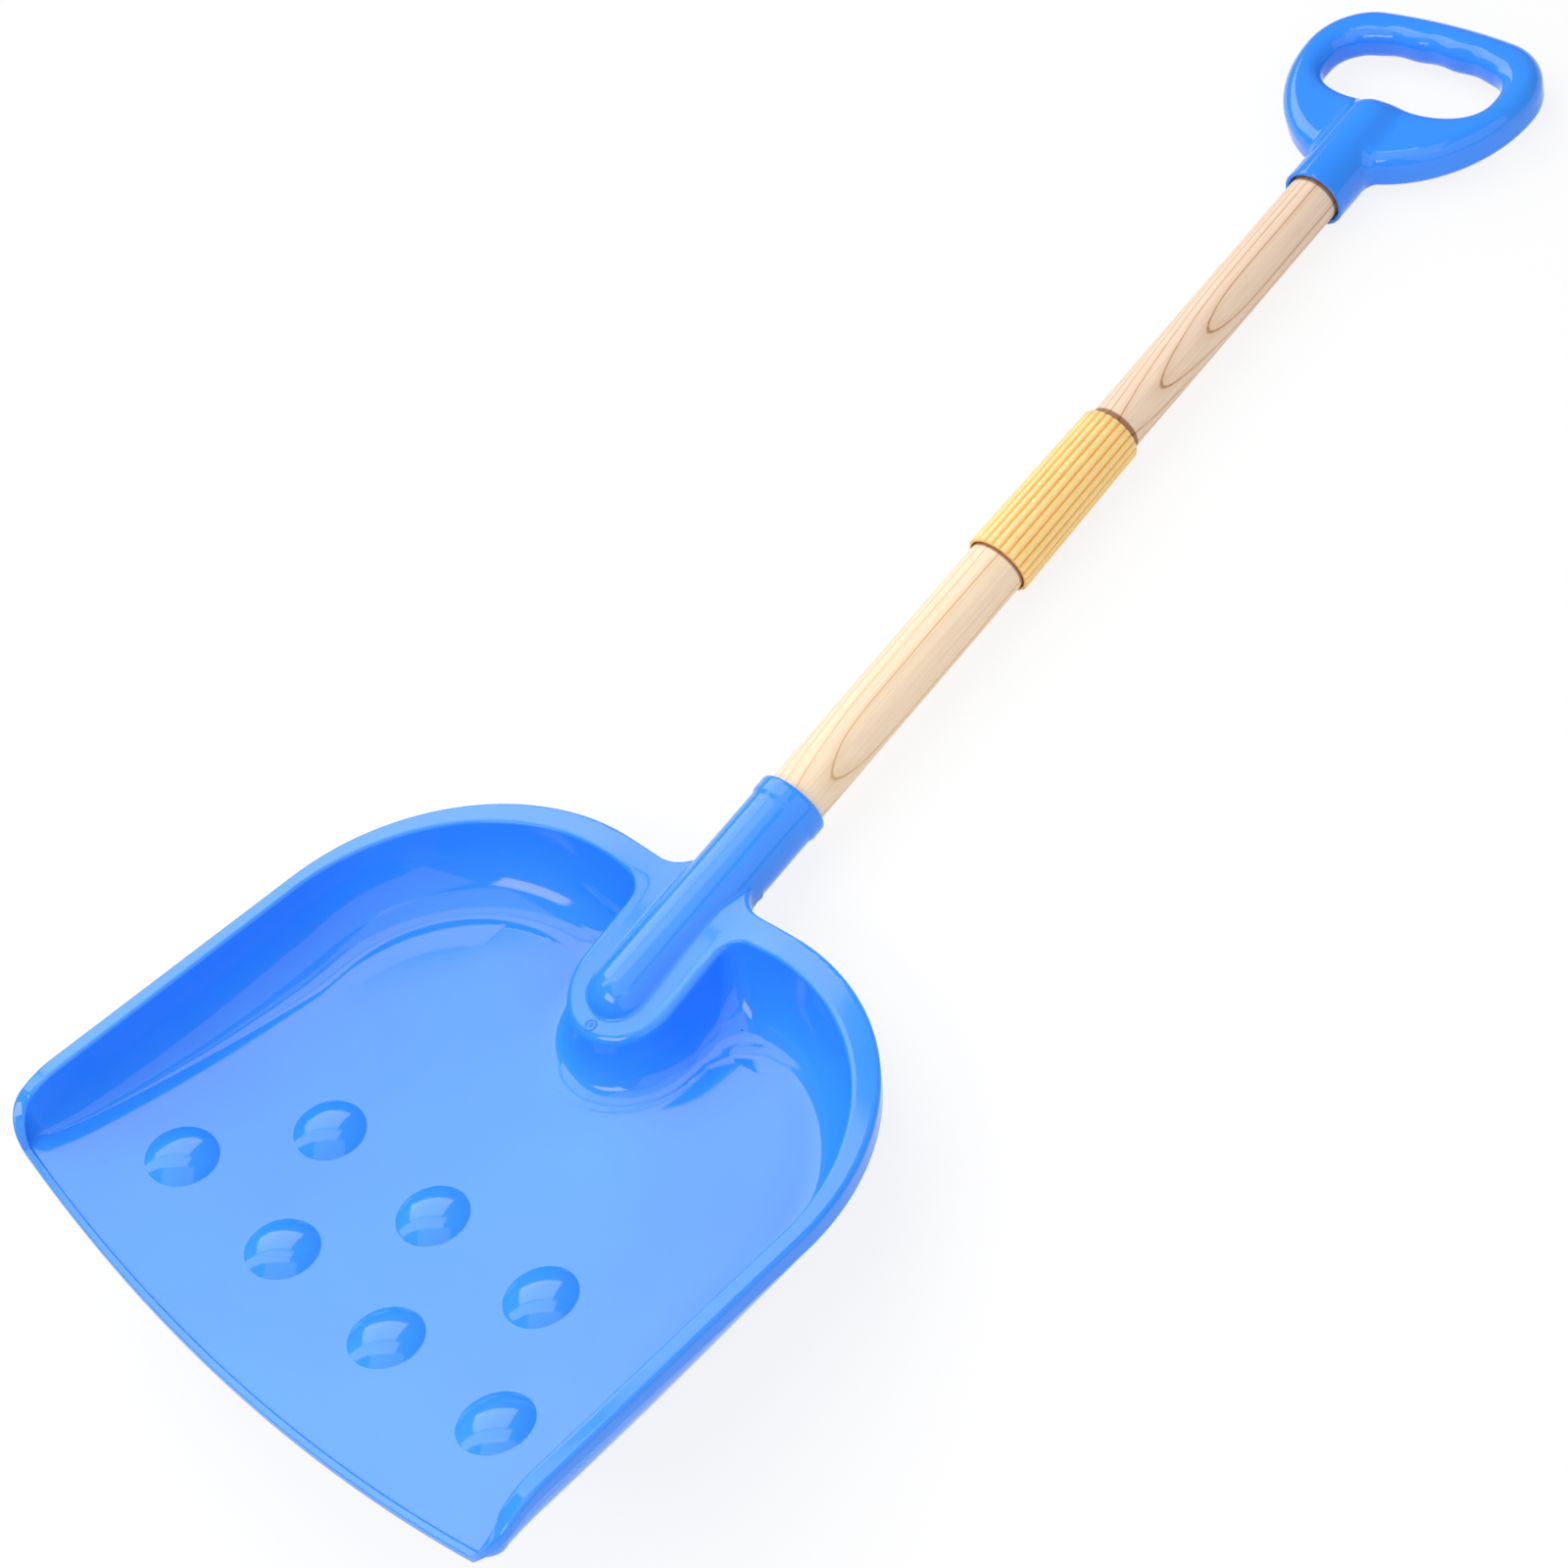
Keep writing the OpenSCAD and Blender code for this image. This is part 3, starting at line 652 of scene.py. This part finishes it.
def handle_field(p):
    """The D-handle: a plate with rounded edges and a hole, and a socket with a bore."""
    x, v, h = p.T
    side, up = np.abs(x), v - HUB_V
    turn = np.arctan2(up, side)
    rise = SHOULDER_V - HUB_V
    end_x = GRIP_W - SHOULDER_R + SHOULDER_R * math.cos(TOP_TURN)
    end_y = rise + SHOULDER_R * math.sin(TOP_TURN)
    flank = np.hypot(side - GRIP_W + FLANK_R, up - rise) - FLANK_R
    shoulder = np.hypot(side - GRIP_W + SHOULDER_R, up - rise) - SHOULDER_R
    crown = np.hypot(side, up - end_y + TOP_R * math.sin(TOP_TURN)) - TOP_R
    outer = np.where(turn < math.atan2(end_y, end_x), shoulder, crown)
    outer = np.where(turn < math.atan2(rise, GRIP_W), flank, outer)
    reach = hole_reach(turn)
    change = (hole_reach(turn + TURN_STEP) - hole_reach(turn - TURN_STEP)) / (2 * TURN_STEP)
    hole = (reach - np.hypot(side, up)) * reach / np.hypot(reach, change)
    face = np.abs(h) - GRIP_T / 2
    plate = meet_round(outer, face, np.where(h > 0, GRIP_TOP_R, GRIP_LOW_R))
    plate = meet_round(plate, hole, GRIP_IN_R)
    radial = np.hypot(x, h)
    boss = meet_round(radial - BOSS_R, v - BOSS_L, BOSS_EDGE)
    boss = meet_round(boss, -v, BOSS_MOUTH_EDGE)
    whole = join_round(plate, boss, BOSS_JOIN)
    lead = BOSS_LEAD * ramp(1 - v / BOSS_LEAD_L)
    bore = np.maximum(radial - GRIP_BORE_R - lead, v - GRIP_BORE_L)
    return meet_round(whole, -bore, GRIP_BORE_EDGE)


SLEEVE_A, SLEEVE_L, SLEEVE_LOW_R, SLEEVE_HIGH_R = 158.5, 67.5, 12.2, 11.2
SLEEVE_LOW_BORE, SLEEVE_HIGH_BORE = 11.1, 10.1
SLEEVE_STEPS, SLEEVE_DROP = 12, 0.35
RIBS, RIB_H, RIB_SHARE, RIB_STEPS = 24, 0.8, 0.86, 12
LEAD_IN, LEAD_L = 0.6, 3.0
# distance in from the sleeve's end and the share of its full height there
SLEEVE_EDGE = [(0.0, 0.0), (0.1, 0.45), (0.3, 0.8), (0.7, 1.0)]


def sleeve_rings():
    """Rings of the sleeve from its low end over the ribs and back through the stepped bore."""
    turns = full_turn(RIBS * RIB_STEPS)
    across = np.abs(((turns * RIBS / (2 * math.pi) + 0.5) % 1) - 0.5) * 2
    rib = np.sqrt(np.maximum(0, 1 - (across / RIB_SHARE) ** 2))

    def ring(r, t):
        r = r + 0 * turns
        return np.stack([r * np.sin(turns), t + 0 * turns, r * np.cos(turns)], 1)

    rings = []
    places = SLEEVE_EDGE + [(SLEEVE_L * k / SLEEVE_STEPS, 1.0) for k in range(1, SLEEVE_STEPS)]
    places += [(SLEEVE_L - t, f) for t, f in reversed(SLEEVE_EDGE)]
    for t, f in places:
        base = mix(SLEEVE_LOW_R, SLEEVE_HIGH_R, t / SLEEVE_L)
        rings.append(ring(base - SLEEVE_DROP * (1 - f) + RIB_H * rib * f, t))
    half = SLEEVE_L / 2
    for r, t in ((SLEEVE_HIGH_BORE + LEAD_IN, SLEEVE_L), (SLEEVE_HIGH_BORE, SLEEVE_L - LEAD_L),
                 (SLEEVE_HIGH_BORE, half), (SLEEVE_LOW_BORE, half),
                 (SLEEVE_LOW_BORE, LEAD_L), (SLEEVE_LOW_BORE + LEAD_IN, 0.0)):
        rings.append(ring(r, t))
    return rings


# studs; STUD_GROW and STUD_DEPTH let their feet into the floor
STUD_R, STUD_H, STUD_PITCH, STUD_Y, STUD_GAP = 12.6, 3.4, 54.0, 43.5, 40.5
STUD_GROW, STUD_DEPTH = 0.4, WALL / 2
STUD_TURNS, STUD_RINGS = 64, 12


def stud_mesh(x, y):
    """A dome square to the floor at x, y."""
    ball = (STUD_R ** 2 + STUD_H ** 2) / (2 * STUD_H)
    up = unit(np.array([-x / FLOOR_R, -(y - FLOOR_Y) / FLOOR_R, 1.0]))
    e1 = unit(np.cross([0, 1, 0], up))
    e2 = np.cross(up, e1)
    at = np.array([x, y, floor_z(x, y)])
    turns = full_turn(STUD_TURNS)
    spoke = np.cos(turns)[:, None] * e1 + np.sin(turns)[:, None] * e2
    rings = []
    for k in range(1, STUD_RINGS + 1):
        r = (STUD_R + STUD_GROW) * k / STUD_RINGS
        h = math.sqrt(ball ** 2 - r * r) - ball + STUD_H
        rings.append(at + r * spoke + h * up)
    rings.append(rings[-1] - STUD_DEPTH * up)
    return ring_mesh(rings, at + STUD_H * up, at - STUD_DEPTH * up)


# materials, with lengths in metres
def blue_plastic():
    """Glossy moulded plastic: faint flow marks, uneven gloss, sink marks and fine scuffs."""
    material, tree, shader = new_material("blue_plastic")
    place = object_place(tree)
    flow = noise(tree, place, scale=9.0, detail=3.0)
    colour = colour_ramp(tree, flow, [(0.3, (0.028, 0.262, 1.0)), (0.7, (0.04, 0.305, 1.0))])
    link(tree, colour, shader.inputs["Base Color"])
    gloss = noise(tree, place, scale=60.0, detail=4.0)
    link(tree, map_range(tree, gloss, 0.05, 0.12), shader.inputs["Roughness"])
    shader.inputs["IOR"].default_value = 1.5
    shader.inputs["Specular Tint"].default_value = (1.0, 0.76, 1.0, 1.0)
    sink = bump(tree, noise(tree, place, scale=26.0, detail=1.0), strength=0.06, distance=0.002)
    scuff = noise(tree, mapped(tree, place, scale=(900, 60, 900)), scale=1.0, detail=2.0)
    link(tree, bump(tree, scuff, strength=0.012, distance=0.0004, below=sink), shader.inputs["Normal"])
    return material


def shaft_place(tree):
    """Coordinates with Y along the shaft and its axis at X and Z zero."""
    foot = lay(from_shaft(np.array([[0.0, 0.0, 0.0]]), 0.0))[0]
    tilt = SHAFT_ANGLE - LIE_ANGLE
    turned = Matrix.Rotation(-tilt, 3, "X") @ Vector(foot)
    return mapped(tree, object_place(tree), location=-turned, rotation=(-tilt, 0, 0))


PITH, RING_BEND = 0.043, 0.02
FIBRE_SHARE = 0.4
# painted shade at the dowel's joints: its dark colour, strength and soft edge
GAP_SHADE_COLOUR, GAP_SHARE, GAP_FADE = (0.3, 0.16, 0.08, 1.0), 0.85, 0.0007


def painted_shade_line(tree, colour, y, gap, half_width):
    """Painted shade on the dowel where it goes into another piece: a dark band standing in for the shadow
    at the joint.
    """
    away = math_node(tree, "ABSOLUTE", math_node(tree, "SUBTRACT", y, gap))
    share = map_range(tree, away, GAP_SHARE, 0.0, start=half_width, end=half_width + GAP_FADE)
    return multiply(tree, share, colour, GAP_SHADE_COLOUR)


def wood(name, light, warm, line, spacing, pith_turn, slope, limit, offset, wobble, gaps):
    """Turned softwood: growth rings round a pith outside the dowel, and fibres along it.

    The rings are spacing apart, waver by wobble and lean by slope along the dowel as far as limit.
    Gaps are the places and half widths of painted shade lines at the joints.
    """
    material, tree, shader = new_material(name)
    place = shaft_place(tree)
    x, y, z = parts_of(tree, place)
    wave = noise(tree, mapped(tree, place, scale=(60.0, 9.0, 60.0)), scale=1.0, detail=2.0, rough=0.45)
    turn = math.radians(pith_turn)
    dx = math_node(tree, "ADD", x, PITH * math.sin(turn))
    dz = math_node(tree, "ADD", z, PITH * math.cos(turn))
    ring = length_node(tree, dx, dz)
    along = math_node(tree, "SMOOTH_MIN", y, limit, RING_BEND)
    ring = math_node(tree, "ADD", ring, math_node(tree, "MULTIPLY", along, slope))
    ring = math_node(tree, "ADD", ring, math_node(tree, "MULTIPLY", wave, wobble))
    ring = math_node(tree, "ADD", ring, offset)
    ring = math_node(tree, "FRACT", math_node(tree, "DIVIDE", ring, spacing))
    grain = colour_ramp(tree, ring, [(0.0, warm), (0.25, light), (0.6, light),
                                     (0.87, warm), (0.93, line), (0.97, warm)])
    fibre = noise(tree, mapped(tree, place, scale=(1500.0, 26.0, 1500.0)), scale=1.0, detail=3.0)
    shade = colour_ramp(tree, fibre, [(0.3, (0.8, 0.72, 0.62)), (0.6, (1.0, 1.0, 1.0))])
    colour = multiply(tree, FIBRE_SHARE, grain, shade)
    # painted shade bands where the dowel goes into the sleeve and the grip
    for gap, half_width in gaps:
        colour = painted_shade_line(tree, colour, y, gap, half_width)
    link(tree, colour, shader.inputs["Base Color"])
    link(tree, map_range(tree, fibre, 0.62, 0.45), shader.inputs["Roughness"])
    shader.inputs["Specular IOR Level"].default_value = 0.35
    link(tree, bump(tree, fibre, strength=0.12, distance=0.0003), shader.inputs["Normal"])
    return material


CLOUD_SHARE = 0.5


def yellow_plastic():
    """Satin plastic: painted shade in the grooves between the ribs (deeper orange there, lighter on the
    rib tops), fine moulding texture.
    """
    material, tree, shader = new_material("yellow_plastic")
    place = shaft_place(tree)
    x, y, z = parts_of(tree, place)
    taper = (SLEEVE_LOW_R - SLEEVE_HIGH_R) / SLEEVE_L
    base = (SLEEVE_LOW_R + taper * SLEEVE_A) / 1000
    rise = math_node(tree, "ADD", length_node(tree, x, z), math_node(tree, "MULTIPLY", y, taper))
    rise = math_node(tree, "SUBTRACT", rise, base)
    share = math_node(tree, "DIVIDE", rise, RIB_H / 1000)
    cloud = noise(tree, place, scale=70.0, detail=3.0)
    uneven = math_node(tree, "MULTIPLY", math_node(tree, "SUBTRACT", cloud, 0.5), CLOUD_SHARE)
    share = math_node(tree, "ADD", share, uneven)
    # painted shade: deep orange at the groove bottoms rising to pale yellow on the rib tops, made uneven
    # by the cloud noise
    colour = colour_ramp(tree, share, [(0.0, (0.92, 0.46, 0.11)), (0.5, (0.98, 0.63, 0.22)),
                                       (1.0, (1.0, 0.71, 0.29))])
    link(tree, colour, shader.inputs["Base Color"])
    link(tree, map_range(tree, cloud, 0.3, 0.45), shader.inputs["Roughness"])
    fine = noise(tree, place, scale=900.0, detail=2.0)
    link(tree, bump(tree, fine, strength=0.06, distance=0.0002), shader.inputs["Normal"])
    return material


# pieces
SHARP_ANGLE = math.radians(38)


def dress(node, material):
    """Gives a CAD node's own mesh a material."""
    mesh = nodes[node].data
    mesh.materials.clear()
    mesh.materials.append(material)


def finish_piece(name, mesh, material, node):
    mesh.validate()
    mesh.shade_smooth()
    mesh.set_sharp_from_angle(angle=SHARP_ANGLE)
    mesh.materials.append(material)
    piece = bpy.data.objects.new(name, mesh)
    scene.collection.objects.link(piece)
    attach(piece, "root")
    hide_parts(node)


def mesh_object(name, points, faces, material, node):
    """A smooth piece from points in the part's frame that stands for a CAD node."""
    mesh = bpy.data.meshes.new(name)
    mesh.from_pydata(np.asarray(points).tolist(), [], np.asarray(faces, dtype=object).tolist())
    finish_piece(name, mesh, material, node)


# the scoop is two meshes, joined by a strip SEAM wide round the box |x| < CUT_X, y > CUT_Y
CUT_X, CUT_Y, SEAM, SEAM_ROOM = 70.0, 128.0, 0.6, 0.1
CUT_NEAR, WELD = 1e-5, 0.02
BLADE_LOW, BLADE_HIGH, BLADE_STEP, BLADE_MOVE = (-72, 126, -5), (72, 264, 74), 0.95, 0.5
HANDLE_LOW, HANDLE_HIGH, HANDLE_STEP, HANDLE_MOVE = (-52, -2, -15), (52, 97, 15), 0.78, 0.4


def add_faces(bm, points, faces):
    verts = [bm.verts.new(p) for p in np.asarray(points).tolist()]
    for f in faces:
        bm.faces.new([verts[int(i)] for i in f])
    bm.normal_update()


def to_bmesh(points, faces):
    bm = bmesh.new()
    add_faces(bm, points, faces)
    return bm


def cut(bm, keep_back, room):
    """Keeps the back of the scoop round the tongue, or all the rest of it outside a strip of room."""
    side, front = CUT_X + room, CUT_Y - room
    for at, normal in (((side, 0, 0), (1, 0, 0)), ((-side, 0, 0), (1, 0, 0)), ((0, front, 0), (0, 1, 0))):
        geometry = bm.verts[:] + bm.edges[:] + bm.faces[:]
        bmesh.ops.bisect_plane(bm, geom=geometry, dist=CUT_NEAR, plane_co=at, plane_no=normal)
    gone = []
    for face in bm.faces:
        c = face.calc_center_median()
        if (abs(c.x) < side and c.y > front) != keep_back:
            gone.append(face)
    bmesh.ops.delete(bm, geom=gone, context="FACES")
    bmesh.ops.remove_doubles(bm, verts=bm.verts[:], dist=WELD)


def open_loops(bm):
    """The open edges as rows of vertices, each in the order of the faces beside it."""
    after = {}
    for edge in bm.edges:
        if len(edge.link_loops) == 1:
            corner = edge.link_loops[0]
            after[corner.vert] = corner.link_loop_next.vert
    rows = []
    while after:
        row = [next(iter(after))]
        while row[-1] in after:
            row.append(after.pop(row[-1]))
        rows.append(row[:-1])
    return sorted(rows, key=len)


def zip_loops(bm, a, b):
    """Joins two open edges that run side by side by a strip of triangles."""
    b = b[::-1]
    start = min(range(len(b)), key=lambda k: (b[k].co - a[0].co).length)
    b = b[start:] + b[:start]
    i = j = 0
    while i < len(a) or j < len(b):
        p, p1 = a[i % len(a)], a[(i + 1) % len(a)]
        q, q1 = b[j % len(b)], b[(j + 1) % len(b)]
        if j == len(b) or (i < len(a) and (p1.co - q.co).length < (q1.co - p.co).length):
            bm.faces.new((p1, p, q))
            i += 1
        else:
            bm.faces.new((q, q1, p))
            j += 1


def scoop_with_studs():
    """The whole scoop without its tongue and socket, with four studs in front of three."""
    middle = (0, FLOOR_Y, 0)
    bm = to_bmesh(*ring_mesh(pan_rings(rim_line()), middle, (0, FLOOR_Y, -WALL)))
    places = [(k * STUD_PITCH, STUD_Y) for k in (-1.5, -0.5, 0.5, 1.5)]
    places += [(k * STUD_PITCH, STUD_Y + STUD_GAP) for k in (-1, 0, 1)]
    for x, y in places:
        add_faces(bm, *stud_mesh(x, y))
    return bm


# the inlet mark, with its pip as rows of radius and height
GATE_Y, GATE_R, GATE_WIRE = 158.7, 1.9, 0.42
GATE_HIGH, GATE_LOW, GATE_STEP = 45.0, 20.0, 0.01
GATE_TURNS, WIRE_TURNS = 40, 10
PIP = [(0.35, 0.42), (0.7, 0.26), (0.85, 0.0), (0.85, -0.4)]
PIP_TOP, PIP_ROOT = 0.46, -0.4


def gate_mark():
    """The ring and pip that the moulding's inlet leaves on the tongue."""
    heights = np.arange(GATE_HIGH, GATE_LOW, -GATE_STEP)
    column = np.stack([0 * heights, 0 * heights + GATE_Y, heights], 1)
    at = column[np.argmax(blade_field(column) < 0)]
    up = unit(gradient(blade_field, at[None])[0])
    e1 = np.array([1.0, 0.0, 0.0])
    e2 = np.cross(up, e1)
    turns = full_turn(GATE_TURNS)
    spoke = np.cos(turns)[:, None] * e1 + np.sin(turns)[:, None] * e2
    rings = []
    for b in full_turn(WIRE_TURNS):
        rings.append(at + (GATE_R + GATE_WIRE * math.cos(b)) * spoke + GATE_WIRE * math.sin(b) * up)
    pip = [at + r * spoke + h * up for r, h in PIP]
    return ring_mesh(rings, closed=True), ring_mesh(pip, at + PIP_TOP * up, at + PIP_ROOT * up)


def own_normals(mesh, spots, plain):
    """Takes the shading of the back of the scoop from its field, so that no seam shows.

    Vertices from plain on are the inlet mark, which keeps its own.
    """
    corner = np.empty(len(mesh.loops) * 3, np.float32)
    mesh.corner_normals.foreach_get("vector", corner)
    corner = corner.reshape(-1, 3).astype(float)
    vertex = np.empty(len(mesh.loops), np.int32)
    mesh.loops.foreach_get("vertex_index", vertex)
    room = SEAM + SEAM_ROOM
    near = (np.abs(spots[:, 0]) < CUT_X + room) & (spots[:, 1] > CUT_Y - room)
    near[plain:] = False
    g = gradient(blade_field, spots)
    g /= np.maximum(np.linalg.norm(g, axis=1), 1e-9)[:, None]
    taken = near[vertex]
    corner[taken] = tip(g)[vertex][taken]
    mesh.normals_split_custom_set(corner.tolist())


def make_blade(material):
    """Joins the scoop to its back with the tongue and socket, and adds the inlet mark."""
    scoop = scoop_with_studs()
    cut(scoop, False, SEAM)
    points, faces = surface_net(blade_field, BLADE_LOW, BLADE_HIGH, BLADE_STEP)
    back = to_bmesh(settle(blade_field, points, BLADE_MOVE), faces)
    cut(back, True, 0.0)
    half = bpy.data.meshes.new("half")
    back.to_mesh(half)
    scoop.from_mesh(half)
    zip_loops(scoop, *open_loops(scoop)[-2:])
    plain = len(scoop.verts)
    for points, faces in gate_mark():
        add_faces(scoop, points, faces)
    mesh = bpy.data.meshes.new("scoop_shell")
    scoop.to_mesh(mesh)
    spots = np.empty(len(mesh.vertices) * 3, np.float32)
    mesh.vertices.foreach_get("co", spots)
    spots = spots.astype(float).reshape(-1, 3)
    mesh.vertices.foreach_set("co", lay(spots).ravel().astype(np.float32))
    finish_piece("scoop_shell", mesh, material, "blade")
    own_normals(mesh, spots, plain)


def make_handle(material):
    points, faces = surface_net(handle_field, HANDLE_LOW, HANDLE_HIGH, HANDLE_STEP)
    points = lay(from_shaft(settle(handle_field, points, HANDLE_MOVE), GRIP_A))
    mesh_object("d_grip", points, faces, material, "d_handle")


def make_sleeve(material):
    points, faces = ring_mesh(sleeve_rings(), closed=True)
    points = lay(from_shaft(points, SLEEVE_A))
    mesh_object("ribbed_sleeve", points, faces, material, "coupling_sleeve")


blue = blue_plastic()
make_blade(blue)
make_handle(blue)
make_sleeve(yellow_plastic())
# gaps place the painted shade bands at the sleeve's ends and at the grip's mouth
dress("lower_shaft", wood("pale_wood", light=(0.95, 0.755, 0.55), warm=(0.91, 0.69, 0.47),
                          line=(0.66, 0.41, 0.21), spacing=0.0034, pith_turn=66, slope=0.1, limit=0.075,
                          offset=-0.0003, wobble=0.003, gaps=[(0.1585, 0.0006)]))
dress("upper_shaft", wood("tan_wood", light=(0.89, 0.69, 0.53), warm=(0.84, 0.61, 0.44),
                          line=(0.44, 0.21, 0.09), spacing=0.0021, pith_turn=53, slope=0.07, limit=0.292,
                          offset=0.00025, wobble=0.0015, gaps=[(0.2273, 0.0011), (0.353, 0.0006)]))
